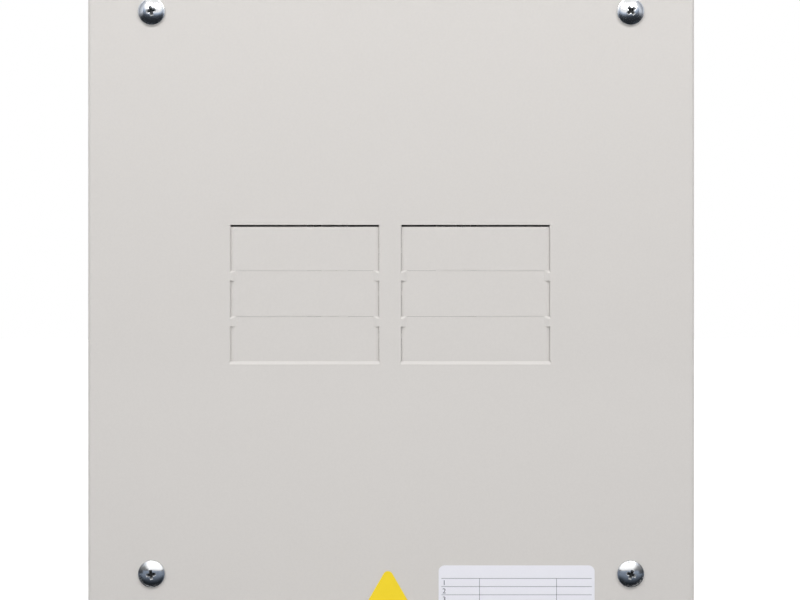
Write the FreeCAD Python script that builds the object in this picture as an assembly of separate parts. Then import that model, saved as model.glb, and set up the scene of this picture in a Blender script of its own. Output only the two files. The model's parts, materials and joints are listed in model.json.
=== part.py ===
import FreeCAD, Part
import math
import os

# A flush load centre for six plug-on circuit breakers, as it is delivered: an open folded steel box
# with its bus bars, lugs, neutral bar and ground bar, and a flat steel cover on four screws whose
# twist-out plates still close the six breaker positions.
#
# Millimetres. The origin is the middle of the box's back face, which lies against the wall. X runs
# to the right as one faces the cover and Z runs up. Distances out from the wall are positive here
# and become -Y in the model, so the cover faces -Y.

# ---- the breakers that the panel takes
pole_pitch = 19.05  # height of one breaker position
pole_rows = 3  # positions in each of the two columns
breaker_length = 76.2  # from the stabs at the middle to the hook at the outer end
breaker_depth = 58.0  # from the breaker's base to the shoulder behind the cover
breaker_gap = 1.5  # between that shoulder and the cover
side_gutter = 38.8  # wiring space from the breakers' outer ends to the side of the box

# ---- box: a back and sides in one folded sheet, and two end walls
box_height = 290.0
box_sheet = 1.2
box_bend = 1.2  # inside radius of the folds
side_return = 9.0  # lip folded inwards along the front of each side
end_flange = 13.0  # flanges of an end wall
fold_relief = 0.8  # gap that keeps two folds apart at a corner
tab_height = 26.0  # lug on the side lip that takes a cover screw
tab_margin = 8.0  # its metal beyond the screw
tab_corner = 3.0
screw_from_side = 15.6  # cover screw from the outside of the box's side
screw_from_end = 28.3  # and from the end of the box

# ---- holes that fix the box
wall_hole_radius = 3.25
wall_hole_from_side = 33.0  # from the outside of the box's side
wall_hole_from_end = 34.0
keyhole_head_radius = 5.5
keyhole_slot_radius = 2.75
keyhole_rise = 9.0
keyhole_from_end = 24.0
stud_hole_radius = 2.6
stud_hole_from_front = 16.0
stud_hole_spacing = 150.0

# ---- conduit knockouts
half_inch_radius = 11.1
three_quarter_radius = 14.1
one_inch_radius = 17.4
knockout_spacing = 60.0
knockout_from_wall = 44.0
side_knockout_from_end = 48.0
slit = 0.4  # width of the sheared line round a disc
web_width = 2.6  # metal left across it
shear_step = 0.3  # how far the disc stands out of the wall

# ---- cover
cover_overhang = 11.0  # beyond the box on all four sides
cover_sheet = 1.5
cover_bend = 1.5  # outside radius along the edges of the face
cover_corner = 5.0
cover_lip = 6.5  # return folded towards the wall
window_width = 61.6  # opening for one column of breakers
window_gap = 9.4  # cover left between the two columns
window_shift = -0.4  # both openings from the cover's middle
window_drop = 0.35  # plates sit this much lower than the breakers behind them
window_sill = 0.5  # bottom edge of an opening above the lowest plate's place
side_roll = 0.5  # edge rolled over by the punch at the sides of an opening
side_roll_depth = 0.3
sill_roll = 1.3  # and along its bottom, where it is as deep as the recess
plate_recess = 0.6  # twist-outs behind the face of the cover
plate_roll = 1.2  # rolled edge at the sides of a plate
plate_roll_depth = 0.3
slot_roll = 1.0  # and along the top of the highest one
slot_roll_depth = 0.1
plate_gap = 0.04  # sheared line around the plates, at the face
row_gap = 0.07  # and between two of them
shear_taper = 0.15  # by which these lines open towards the back
top_slot = 0.8  # open slot over the top plates, for a screwdriver
bridge_length = 2.2  # tongue of the cover that still holds the plates, at both ends of a line
bridge_flat = 0.4  # length over which it stays level with the cover, before it slopes back
bridge_drop = 4.2  # from that line down to its lower end
bridge_slope = 1.1  # height in which its upper end comes forward to the face of the cover
bridge_foot = 0.05  # by which its lower end rises towards the front
screw_clearance = 0.4

# ---- stickers on the cover
sticker = 0.15
label_width = 64.8
label_height = 38.0
label_corner = 2.5
label_from_side = 41.5  # cover's right-hand edge to the sticker
label_from_bottom = 4.8
triangle_side = 38.0
triangle_corner = 2.1
triangle_gap = 2.0  # from the label to the triangle's corner, if it were sharp
triangle_from_bottom = 9.6

# ---- cover screws
cover_screw_head = 5.7
cover_screw_rise = 3.0
cover_screw_rim = 0.7
cover_screw_shank = 2.4
cover_screw_length = 12.0
cross_span = 4.1
cross_width = 1.2
cross_depth = 2.2
thread_clearance = 0.06

# ---- pan that carries the interior, and the rails on it
pan_height = 23.5  # face of the pan, out from the wall
pan_sheet = 1.2
pan_bend = 1.2
pan_foot = 12.0
pan_margin = 6.0  # pan beyond a rail and beyond what stands on its ends
rail_sheet = 1.5
rail_bend = 1.0
rail_foot = 10.0
rail_rise = 12.0  # from the pan to the breaker's base
rail_inset = 2.2  # rail from the breaker's outer end
hook_width = 10.0
hook_lip = 4.0
hook_root = 5.0  # height of the strip that joins the hooks
rivet_shank = 1.6
rivet_head = 3.0
rivet_rise = 1.2

# ---- bus bars, stabs and the moulded insulator under them
insulator_floor = 5.0
insulator_wall = 2.5
insulator_margin = 6.0
rib_thickness = 2.4
channel_depth = 1.0
bus_width = 12.0
bus_thickness = 2.0
bus_offset = 26.0  # middle of each bus bar from the centre line
stab_thickness = 2.0
stab_reach = 11.0  # past the centre line, for the breaker opposite
stab_rise = 19.0  # from the bus bar to the tip
stab_foot = 11.0
stab_corner = 3.0
stab_margin = 6.0  # bus bar beyond its lowest stab
stab_bend = 0.8
moulding_clearance = 0.3

# ---- lugs, one design for both lines and the neutral
lug_width = 16.0
lug_length = 22.0
lug_rise = 18.0
lug_corner = 4.0
lug_tang = 12.0
lug_tang_rise = 4.0
lug_bore = 5.25
set_screw_radius = 4.0
set_screw_length = 8.0
set_screw_socket = 2.0
set_screw_depth = 4.0
row_to_lug = 4.0  # from the last breaker position to the lug's tang

# ---- terminal bars
bar_width = 9.0
bar_rise = 10.0
wire_pitch = 9.5
wire_hole = 2.4
foot_zone = 11.0
neutral_wire_count = 8
ground_wire_count = 6
neutral_zones = ["lug", "foot", *["wire"] * neutral_wire_count, "foot", "bond"]
ground_zones = ["foot", *["wire"] * ground_wire_count, "foot"]
neutral_below_rows = 31.0  # from the last breaker position to the neutral bar
standoff_margin = 1.5  # standoff wider than the bar, each side
standoff_rise = 12.0
ground_from_end = 28.0
ground_spacer = 4.0

# ---- small screws of the interior
screw_head = 3.4
screw_head_rise = 2.2
screw_shank = 1.9
screw_slot = 0.9
screw_slot_depth = 1.1
terminal_head = 3.2
terminal_shank = 2.0
bite = 3.0  # how far a screw stands in what it is driven into
hole_clearance = 0.1

# ---- worked out from the sizes above
rows_half = pole_rows * pole_pitch / 2
pan_face = pan_height
seat = pan_face + rail_rise
box_width = 2 * (breaker_length + side_gutter)
box_depth = seat + breaker_depth + breaker_gap
small_knockout = (three_quarter_radius, half_inch_radius)
large_knockout = (one_inch_radius, three_quarter_radius)
cover_face = box_depth + cover_sheet
plate_face = cover_face - plate_recess
slot_line = rows_half - window_drop  # top edge of an opening
sill_line = -rows_half - window_drop + window_sill
cover_half_width = box_width / 2 + cover_overhang
cover_half_height = box_height / 2 + cover_overhang
cover_screw_x = box_width / 2 - screw_from_side
cover_screw_z = box_height / 2 - screw_from_end
rail_x = breaker_length - rail_inset
pan_half = rail_x + pan_margin
pan_foot_x = pan_half + pan_foot / 2
bus_back = pan_face + insulator_floor - channel_depth
bus_face = bus_back + bus_thickness
bus_outer = bus_offset + bus_width / 2
insulator_half = bus_outer + insulator_margin
lug_tang_z = rows_half + row_to_lug
lug_screw_z = lug_tang_z + lug_tang / 2
lug_z = lug_tang_z + lug_tang
lug_end_z = lug_z + lug_length
insulator_low = -rows_half - insulator_margin
insulator_high = lug_end_z + insulator_margin
neutral_z = -rows_half - neutral_below_rows
neutral_back = pan_face + standoff_rise
neutral_face = neutral_back + bar_rise
neutral_lug_z = neutral_z - lug_tang / 2
pan_low = neutral_lug_z - lug_length - pan_margin
pan_high = insulator_high + pan_margin
ground_z = -box_height / 2 + ground_from_end
ground_back = box_sheet + ground_spacer
ground_face = ground_back + bar_rise
wall_hole_x = box_width / 2 - wall_hole_from_side
wall_hole_z = box_height / 2 - wall_hole_from_end
clear_hole = screw_shank + hole_clearance
rivet_hole = rivet_shank + hole_clearance
label_right = cover_half_width - label_from_side
triangle_x = label_right - label_width - triangle_gap - triangle_side / 2
zone_widths = {
    "lug": lug_width + 2 * moulding_clearance,
    "foot": foot_zone,
    "wire": wire_pitch,
    "bond": foot_zone,
}


# ================================================================ drawing helpers
def at(x, out, z):
    """A point: across, out from the wall, up."""
    return FreeCAD.Vector(x, -out, z)


def block(x, out, z):
    """A rectangular block between a pair of limits in each direction."""
    return Part.makeBox(x[1] - x[0], out[1] - out[0], z[1] - z[0], at(x[0], out[1], z[0]))


def rod(radius, start, end):
    axis = end - start
    return Part.makeCylinder(radius, axis.Length, start, axis)


def hole(radius, x, z, back, front):
    """What a drill takes out, straight out from the wall between two distances."""
    return rod(radius, at(x, back, z), at(x, front, z))


def joined(pieces):
    return pieces[0].fuse(pieces[1:]).removeSplitter() if len(pieces) > 1 else pieces[0]


def group(pieces):
    return Part.makeCompound(pieces)


def mirrored(shape):
    """The same piece on the other side of the centre line."""
    return shape.mirror(FreeCAD.Vector(0, 0, 0), FreeCAD.Vector(1, 0, 0))


# How (u, v) of an outline lies in the model, for each direction in which it can be drawn out.
PLACES = {
    "x": lambda u, v, low: at(low, u, v),
    "out": lambda u, v, low: at(u, low, v),
    "z": lambda u, v, low: at(u, v, low),
}
RUNS = {"x": at(1, 0, 0), "out": at(0, 1, 0), "z": at(0, 0, 1)}


def outline(corners, direction, low):
    """A closed wire through corners (u, v, radius): (out, z) for x, (x, z) for out, (x, out) for z."""
    points = [FreeCAD.Vector(u, v, 0) for u, v, _ in corners]
    starts, middles, ends = [], [], []
    for i, (_, _, radius) in enumerate(corners):
        corner = points[i]
        back = (points[i - 1] - corner).normalize()
        on = (points[(i + 1) % len(points)] - corner).normalize()
        half_angle = back.getAngle(on) / 2
        reach = radius / math.tan(half_angle)
        inwards = (back + on).normalize() if radius else FreeCAD.Vector()
        starts.append(corner + back * reach)
        middles.append(corner + inwards * (radius / math.sin(half_angle) - radius))
        ends.append(corner + on * reach)

    def place(point):
        return PLACES[direction](point.x, point.y, low)

    edges = []
    for i, (_, _, radius) in enumerate(corners):
        if not ends[i - 1].isEqual(starts[i], 1e-6):
            edges.append(Part.LineSegment(place(ends[i - 1]), place(starts[i])).toShape())
        if radius:
            edges.append(Part.Arc(place(starts[i]), place(middles[i]), place(ends[i])).toShape())
    return Part.Wire(edges)


def drawn(corners, direction, low, high):
    """A solid with that outline, drawn out from low to high."""
    face = Part.Face(outline(corners, direction, low))
    return face.extrude(RUNS[direction] * (high - low))


def rectangle(u, v, radius=0.0):
    """The corners of a rectangle between two pairs of limits."""
    return [(u[0], v[0], radius), (u[1], v[0], radius), (u[1], v[1], radius), (u[0], v[1], radius)]


def tapered(x, z, start, end, growth):
    """A block between limits in x and z at start, grown all round by growth at end."""
    grown = rectangle((x[0] - growth, x[1] + growth), (z[0] - growth, z[1] + growth))
    return Part.makeLoft([outline(rectangle(x, z), "out", start), outline(grown, "out", end)], True)


def folded(points, sheet, bend, direction, low, high):
    """A folded sheet. Its section follows points, and the metal lies to the left of them."""
    line = [FreeCAD.Vector(u, v, 0) for u, v in points]
    ways = [(b - a).normalize() for a, b in zip(line, line[1:])]
    lefts = [FreeCAD.Vector(-way.y, way.x, 0) for way in ways]
    near = [(line[0].x, line[0].y, 0.0)]
    start = line[0] + lefts[0] * sheet
    far = [(start.x, start.y, 0.0)]
    for i in range(1, len(line) - 1):
        turns_left = ways[i - 1].cross(ways[i]).z > 0
        near_radius, far_radius = (bend + sheet, bend) if turns_left else (bend, bend + sheet)
        shared = lefts[i - 1] + lefts[i]
        inner = line[i] + shared * (sheet / (1 + lefts[i - 1].dot(lefts[i])))
        near.append((line[i].x, line[i].y, near_radius))
        far.append((inner.x, inner.y, far_radius))
    end = line[-1] + lefts[-1] * sheet
    near.append((line[-1].x, line[-1].y, 0.0))
    far.append((end.x, end.y, 0.0))
    return drawn(near + far[::-1], direction, low, high)


def stood(shape, x, out, z):
    """A piece made upright on the Z axis, laid to point out from the wall at that place."""
    laid = shape.copy()
    laid.rotate(FreeCAD.Vector(0, 0, 0), FreeCAD.Vector(1, 0, 0), 90)
    laid.translate(at(x, out, z))
    return laid


def cap_screw(head, rise, shank, length):
    """A slotted cheese-head screw, its head above zero and its shank below."""
    whole = joined(
        [
            Part.makeCylinder(head, rise),
            Part.makeCylinder(shank, length + rise / 2, FreeCAD.Vector(0, 0, -length)),
        ]
    )
    slot_corner = FreeCAD.Vector(-head, -screw_slot / 2, rise - screw_slot_depth)
    return whole.cut(Part.makeBox(2 * head, screw_slot, screw_slot_depth, slot_corner))


def interior_screw(length):
    """The screw that is used throughout the interior, that long under its head."""
    return cap_screw(screw_head, screw_head_rise, screw_shank, length)


# ================================================================ box
def knockout(radii):
    """A set of concentric discs on the Z axis, still joined by webs, standing proud of the wall."""
    disc = Part.makeCylinder(radii[0], box_sheet)
    for ring, radius in enumerate(radii):
        around = Part.makeCylinder(radius, box_sheet).cut(
            Part.makeCylinder(radius - slit, box_sheet)
        )
        corner = FreeCAD.Vector(-radii[0], -web_width / 2, 0)
        web = Part.makeBox(2 * radii[0], web_width, box_sheet, corner)
        web.rotate(FreeCAD.Vector(0, 0, 0), FreeCAD.Vector(0, 0, 1), 90 * ring)
        disc = disc.cut(around.cut(web))
    disc.translate(FreeCAD.Vector(0, 0, shear_step))
    return disc


def set_in(shape, inner_face, outward):
    """A piece made on the Z axis, set on a wall's inner face so that it points outward."""
    turned = shape.copy()
    turned.Placement = FreeCAD.Placement(
        inner_face, FreeCAD.Rotation(FreeCAD.Vector(0, 0, 1), outward)
    )
    return turned


def end_knockout_places():
    """(x, radii) of the knockouts in an end wall: a large one between two small ones."""
    return [
        (-knockout_spacing, small_knockout),
        (0.0, large_knockout),
        (knockout_spacing, small_knockout),
    ]


def side_knockout_heights():
    height = box_height / 2 - side_knockout_from_end
    return [-height, height]


def make_end_wall(side):
    """An end wall, a pan with four flanges; side is 1 for the top and -1 for the bottom."""
    face = box_height / 2
    half = box_width / 2 - box_sheet
    back, front = box_sheet, box_depth - box_sheet
    relief = box_bend + box_sheet + fold_relief
    across = [(half, face - end_flange), (half, face), (-half, face), (-half, face - end_flange)]
    along = [(back, face - end_flange), (back, face), (front, face), (front, face - end_flange)]
    wall = joined(
        [
            folded(across, box_sheet, box_bend, "out", back + relief, front - relief),
            folded(along[::-1], box_sheet, box_bend, "x", -half + relief, half - relief),
        ]
    )
    holes = []
    for x, radii in end_knockout_places():
        inside = at(x, knockout_from_wall, face - 2 * box_sheet)
        holes.append(rod(radii[0], inside, at(x, knockout_from_wall, face)))
    wall = wall.cut(holes)
    return wall if side > 0 else wall.mirror(FreeCAD.Vector(0, 0, 0), FreeCAD.Vector(0, 0, 1))


def make_end_knockouts(side):
    inner = side * (box_height / 2 - box_sheet)
    return group(
        [
            set_in(knockout(radii), at(x, knockout_from_wall, inner), at(0, 0, side))
            for x, radii in end_knockout_places()
        ]
    )


def make_side_knockouts():
    discs = []
    for side in (-1, 1):
        for z in side_knockout_heights():
            inner = at(side * (box_width / 2 - box_sheet), knockout_from_wall, z)
            discs.append(set_in(knockout(small_knockout), inner, at(side, 0, 0)))
    return group(discs)


def cover_screw_places():
    return {
        "top_left": (-cover_screw_x, cover_screw_z),
        "top_right": (cover_screw_x, cover_screw_z),
        "bottom_left": (-cover_screw_x, -cover_screw_z),
        "bottom_right": (cover_screw_x, -cover_screw_z),
    }


def make_screw_tab(x, z):
    """The lug that a side's front lip carries for a cover screw."""
    side = math.copysign(1, x)
    root = side * (box_width / 2 - box_sheet - box_bend)
    tip = x - side * tab_margin
    half = tab_height / 2
    corners = [
        (root, z - half, 0),
        (tip, z - half, tab_corner),
        (tip, z + half, tab_corner),
        (root, z + half, 0),
    ]
    return drawn(corners, "out", box_depth - box_sheet, box_depth)


def pan_screw_places():
    """The four screws through the feet of the pan, a pan foot's width from its ends."""
    return [
        (side * pan_foot_x, z)
        for side in (-1, 1)
        for z in (pan_low + pan_foot, pan_high - pan_foot)
    ]


def make_keyhole():
    """The slot that hangs the box while it is levelled: a round head and a narrower neck above."""
    centre_z = box_height / 2 - keyhole_from_end - keyhole_rise
    neck_z = centre_z + keyhole_rise
    neck = block((-keyhole_slot_radius, keyhole_slot_radius), (0, box_sheet), (centre_z, neck_z))
    head = hole(keyhole_head_radius, 0, centre_z, 0, box_sheet)
    end = hole(keyhole_slot_radius, 0, neck_z, 0, box_sheet)
    return joined([head, neck, end])


def make_back_and_sides():
    half = box_width / 2
    section = [
        (-half + side_return, box_depth),
        (-half, box_depth),
        (-half, 0),
        (half, 0),
        (half, box_depth),
        (half - side_return, box_depth),
    ]
    wrap = folded(section, box_sheet, box_bend, "z", -box_height / 2, box_height / 2)
    tabs = [make_screw_tab(x, z) for x, z in cover_screw_places().values()]
    wrap = joined([wrap, *tabs])
    holes = [make_keyhole()]
    tapped = cover_screw_shank + thread_clearance
    for x, z in cover_screw_places().values():
        holes.append(hole(tapped, x, z, box_depth - box_sheet, box_depth))
    for x in (-wall_hole_x, wall_hole_x):
        for z in (-wall_hole_z, wall_hole_z):
            holes.append(hole(wall_hole_radius, x, z, 0, box_sheet))
    for x, z in pan_screw_places() + along_bar(ground_zones, "foot", ground_z):
        holes.append(hole(clear_hole, x, z, 0, box_sheet))
    for side in (-1, 1):
        outer, inner = side * half, side * (half - box_sheet)
        out = box_depth - stud_hole_from_front
        for z in (-stud_hole_spacing / 2, stud_hole_spacing / 2):
            holes.append(rod(stud_hole_radius, at(outer, out, z), at(inner, out, z)))
        for z in side_knockout_heights():
            ends = at(outer, knockout_from_wall, z), at(inner, knockout_from_wall, z)
            holes.append(rod(small_knockout[0], *ends))
    return wrap.cut(holes)


# ================================================================ cover
def window_edges(side):
    """The x limits of one column's opening, low first; side is -1 or 1."""
    inner = window_shift + side * window_gap / 2
    outer = inner + side * window_width
    return min(inner, outer), max(inner, outer)


def inwards_from(side):
    """Each upright edge of one column's opening, with the way from it into the opening."""
    low, high = window_edges(side)
    return (low, 1), (high, -1)


def row_lines():
    """Heights of the lines between neighbouring rows, from the bottom up."""
    return [-rows_half + row * pole_pitch for row in range(1, pole_rows)]


def plate_lines():
    """Heights of the lines between neighbouring plates, from the top down."""
    return [line - window_drop for line in reversed(row_lines())]


def make_bridges(side):
    """The tongues that the cover keeps under both ends of each line between two plates.

    Each one comes forward from the plates to the face of the cover, upwards and outwards.
    """
    bridges = []
    for line in plate_lines():
        top, foot = line + row_gap / 2, line - bridge_drop
        section = [
            (box_depth, line, 0),
            (plate_face, top, 0),
            (cover_face, top - bridge_slope, 0),
            (cover_face, foot + bridge_foot, 0),
            (plate_face, foot, 0),
            (box_depth, foot + shear_taper, 0),
        ]
        for edge, inwards in inwards_from(side):
            outer, inner = edge - inwards * side_roll, edge + inwards * bridge_length
            ramp = [
                (outer, box_depth, 0),
                (outer, cover_face, 0),
                (edge + inwards * bridge_flat, cover_face, 0),
                (inner, plate_face, 0),
                (inner, box_depth, 0),
            ]
            height = drawn(section, "x", min(outer, inner), max(outer, inner))
            bridges.append(height.common(drawn(ramp, "z", foot, top)))
    return bridges


def make_window(side):
    """What the punch takes out of the cover for one column, its edges rolled except at the top."""
    low, high = window_edges(side)
    opening = block((low, high), (box_depth, cover_face), (sill_line, slot_line))
    sill = [
        (plate_face, sill_line, 0),
        (cover_face, sill_line, 0),
        (cover_face, sill_line - sill_roll, 0),
    ]
    rolls = [drawn(sill, "x", low - side_roll, high + side_roll)]
    for edge, inwards in inwards_from(side):
        roll = [
            (edge, cover_face - side_roll_depth, 0),
            (edge, cover_face, 0),
            (edge - inwards * side_roll, cover_face, 0),
        ]
        rolls.append(drawn(roll, "z", sill_line, slot_line))
    return opening.fuse(rolls).cut(make_bridges(side))


def cover_block(inset, corner, front):
    """A block with rounded corners inside the cover's outline, from the end of the lip."""
    half_x, half_z = cover_half_width - inset, cover_half_height - inset
    edges = rectangle((-half_x, half_x), (-half_z, half_z), corner)
    return drawn(edges, "out", cover_face - cover_lip, front)


def make_front_cover():
    """A shallow drawn tray: its lip points back towards the wall."""
    outside = cover_block(0, cover_corner, cover_face)
    face_edges = [e for e in outside.Edges if -e.BoundBox.YMax > cover_face - cover_sheet]
    outside = outside.makeFillet(cover_bend, face_edges)
    inside = cover_block(cover_sheet, cover_corner - cover_sheet, box_depth)
    holes = [
        hole(cover_screw_shank + screw_clearance, x, z, box_depth, cover_face)
        for x, z in cover_screw_places().values()
    ]
    return outside.cut([inside, make_window(-1), make_window(1), *holes])


def make_twist_out(side, row):
    """The plate that closes one breaker position; row counts from 1 at the top."""
    low, high = window_edges(side)
    lines = plate_lines()
    top = slot_line - top_slot if row == 1 else lines[row - 2] - row_gap / 2
    bottom = sill_line + plate_gap / 2 if row == pole_rows else lines[row - 1] + row_gap / 2
    face, back = plate_face, plate_face - cover_sheet
    across = low + plate_gap, high - plate_gap
    plate = tapered(across, (bottom, top), face, back, -shear_taper)
    cuts = []
    for edge, inwards in inwards_from(side):
        edge += inwards * plate_gap
        roll = [
            (edge, face, 0),
            (edge + inwards * plate_roll, face, 0),
            (edge, face - plate_roll_depth, 0),
        ]
        cuts.append(drawn(roll, "z", bottom, top))
    if row == 1:
        roll = [(face, top, 0), (face, top - slot_roll, 0), (face - slot_roll_depth, top, 0)]
        cuts.append(drawn(roll, "x", low, high))
    else:
        line = lines[row - 2]
        foot = line - bridge_drop
        notch = [(face, line, 0), (face, foot, 0), (back, foot - shear_taper, 0), (back, line, 0)]
        cuts.append(drawn(notch, "x", low, low + bridge_length))
        cuts.append(drawn(notch, "x", high - bridge_length, high))
    return plate.cut(cuts)


def make_cover_screw(x, z):
    """A round-head screw with a cross recess."""
    cap_rise = cover_screw_rise - cover_screw_rim
    sphere = (cover_screw_head**2 + cap_rise**2) / (2 * cap_rise)
    half_angle = math.asin(cover_screw_head / sphere) / 2
    centre = cover_screw_rise - sphere

    def on_axis_plane(radius, height):
        return FreeCAD.Vector(radius, 0, height)

    shoulder = on_axis_plane(cover_screw_head, cover_screw_rim)
    middle = on_axis_plane(
        sphere * math.sin(half_angle), centre + sphere * math.cos(half_angle)
    )
    crown = on_axis_plane(0, cover_screw_rise)
    path = [
        crown,
        on_axis_plane(0, -cover_screw_length),
        on_axis_plane(cover_screw_shank * 0.7, -cover_screw_length),
        on_axis_plane(cover_screw_shank, -cover_screw_length + cover_screw_shank * 0.5),
        on_axis_plane(cover_screw_shank, 0),
        on_axis_plane(cover_screw_head, 0),
        shoulder,
    ]
    edges = [Part.LineSegment(a, b).toShape() for a, b in zip(path, path[1:])]
    edges.append(Part.Arc(shoulder, middle, crown).toShape())
    body = Part.Face(Part.Wire(edges)).revolve(
        FreeCAD.Vector(0, 0, 0), FreeCAD.Vector(0, 0, 1), 360
    )
    body = Part.Solid(body) if body.ShapeType != "Solid" else body
    wings = []
    for turn in (0, 90):
        wing = drawn(
            [
                (-cross_span / 2, cover_screw_rise, 0),
                (-cross_span / 4, cover_screw_rise - cross_depth, 0),
                (cross_span / 4, cover_screw_rise - cross_depth, 0),
                (cross_span / 2, cover_screw_rise, 0),
            ],
            "out",
            -cross_width / 2,
            cross_width / 2,
        )
        wing.rotate(FreeCAD.Vector(0, 0, 0), FreeCAD.Vector(0, 0, 1), turn)
        wings.append(wing)
    return stood(body.cut(wings), x, cover_face, z)


def make_rating_label():
    bottom = -cover_half_height + label_from_bottom
    x = (label_right - label_width, label_right)
    edges = rectangle(x, (bottom, bottom + label_height), label_corner)
    return drawn(edges, "out", cover_face, cover_face + sticker)


def make_triangle_sticker():
    bottom = -cover_half_height + triangle_from_bottom
    half = triangle_side / 2
    corners = [
        (triangle_x - half, bottom, triangle_corner),
        (triangle_x + half, bottom, triangle_corner),
        (triangle_x, bottom + half * math.sqrt(3), triangle_corner),
    ]
    return drawn(corners, "out", cover_face, cover_face + sticker)


# ================================================================ pan and rails
def make_interior_pan():
    foot = box_sheet + pan_sheet
    section = [
        (pan_half + pan_foot, foot),
        (pan_half, foot),
        (pan_half, pan_face),
        (-pan_half, pan_face),
        (-pan_half, foot),
        (-pan_half - pan_foot, foot),
    ]
    pan = folded(section, pan_sheet, pan_bend, "z", pan_low, pan_high)
    through = pan_face - pan_sheet
    holes = []
    for x, z in pan_screw_places():
        holes.append(hole(clear_hole, x, z, box_sheet, foot))
    in_web = insulator_screw_places() + neutral_post_places()
    in_web += along_bar(neutral_zones, "bond", neutral_z)
    for x, z in in_web:
        holes.append(hole(clear_hole, x, z, through, pan_face))
    for x, z in rail_rivet_places():
        holes.append(hole(rivet_hole, x, z, through, pan_face))
    return pan.cut(holes)


def rail_rivet_places():
    x = rail_x - rail_sheet - rail_foot / 2
    z = rows_half - pole_pitch / 2
    return [(side * x, height) for side in (-1, 1) for height in (-z, z)]


def make_breaker_rail():
    """The right-hand rail: an angle with one hook for each breaker."""
    half = rows_half
    foot = [
        (rail_x, pan_face + hook_root),
        (rail_x, pan_face),
        (rail_x - rail_foot - rail_sheet, pan_face),
    ]
    strip = folded(foot[::-1], rail_sheet, rail_bend, "z", -half, half)
    pieces = [strip]
    hook = [
        (rail_x, pan_face + hook_root - rail_sheet),
        (rail_x, seat),
        (rail_x + hook_lip, seat),
    ]
    for row in range(pole_rows):
        middle = -rows_half + (row + 0.5) * pole_pitch
        limits = middle - hook_width / 2, middle + hook_width / 2
        pieces.append(folded(hook, rail_sheet, rail_bend, "z", *limits))
    rail = joined(pieces)
    holes = [
        hole(rivet_hole, x, z, pan_face, pan_face + rail_sheet)
        for x, z in rail_rivet_places()
        if x > 0
    ]
    return rail.cut(holes)


def rivet(grip):
    """A round-head rivet: the head above zero, the shank through the grip below."""
    cap = Part.makeCone(rivet_head, rivet_head * 0.55, rivet_rise)
    shank = Part.makeCylinder(rivet_shank, grip + rivet_rise / 2, FreeCAD.Vector(0, 0, -grip))
    return joined([cap, shank])


def make_rail_rivets():
    grip = rail_sheet + pan_sheet
    return group(
        [stood(rivet(grip), x, pan_face + rail_sheet, z) for x, z in rail_rivet_places()]
    )


def make_pan_screws():
    screw = interior_screw(pan_sheet + box_sheet)
    return group([stood(screw, x, box_sheet + pan_sheet, z) for x, z in pan_screw_places()])


# ================================================================ bus bars and insulator
def stab_side(row):
    """Side whose bus bar feeds a row, counted from 0 at the top: the lines take turns."""
    return -1 if row % 2 == 0 else 1


def stab_rows(side):
    return [row for row in range(pole_rows) if stab_side(row) == side]


def row_middle(row):
    return rows_half - (row + 0.5) * pole_pitch


def insulator_screw_places():
    """One between the lugs and one in the last row, on the side where no bus bar runs."""
    free_side = -stab_side(pole_rows - 1)
    return [(0.0, lug_z + lug_length / 2), (free_side * bus_offset, row_middle(pole_rows - 1))]


def bus_limits(side):
    middle = side * bus_offset
    return middle - bus_width / 2, middle + bus_width / 2


def bus_low(side):
    """A bus bar ends under its lowest stab."""
    return row_middle(stab_rows(side)[-1]) - stab_thickness / 2 - stab_margin


def make_bus_insulator():
    """The moulded base: a floor with a channel for each bus bar, a rim, and ribs between rows."""
    half = insulator_half
    floor_face = pan_face + insulator_floor
    rib_face = seat - moulding_clearance
    low, high = insulator_low, insulator_high
    ribs = (floor_face - channel_depth, rib_face)
    base = rectangle((-half, half), (low, high), insulator_wall)
    body = [drawn(base, "out", pan_face, floor_face)]
    inside = (low + insulator_wall, high - insulator_wall)
    body.append(block((-half, -half + insulator_wall), ribs, inside))
    body.append(block((half - insulator_wall, half), ribs, inside))
    for line in [-rows_half, *row_lines(), rows_half]:
        z = (line - rib_thickness / 2, line + rib_thickness / 2)
        body.append(block((-half, half), ribs, z))
    between_lugs = (-rib_thickness / 2, rib_thickness / 2)
    body.append(block(between_lugs, ribs, (rows_half, inside[1])))
    cuts = []
    for side in (-1, 1):
        x_low, x_high = bus_limits(side)
        x = (x_low - moulding_clearance, x_high + moulding_clearance)
        z = (bus_low(side) - moulding_clearance, lug_end_z + moulding_clearance)
        cuts.append(block(x, (bus_back, rib_face), z))
        cuts.append(hole(clear_hole, side * bus_offset, lug_screw_z, pan_face, bus_back))
    for x, z in insulator_screw_places():
        cuts.append(hole(screw_head + moulding_clearance, x, z, floor_face, rib_face))
        cuts.append(hole(clear_hole, x, z, pan_face, floor_face))
    return joined(body).cut(cuts)


def make_insulator_screws():
    screw = interior_screw(insulator_floor + pan_sheet)
    face = pan_face + insulator_floor
    return group([stood(screw, x, face, z) for x, z in insulator_screw_places()])


def stab_rivet_z(row):
    return row_middle(row) + stab_thickness / 2 + stab_foot / 2


def make_line_bus(side):
    bar = block(bus_limits(side), (bus_back, bus_face), (bus_low(side), lug_end_z))
    middle = side * bus_offset
    holes = [
        hole(rivet_hole, middle, stab_rivet_z(row), bus_back, bus_face) for row in stab_rows(side)
    ]
    holes.append(hole(clear_hole, middle, lug_screw_z, bus_back, bus_face))
    return bar.cut(holes)


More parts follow.
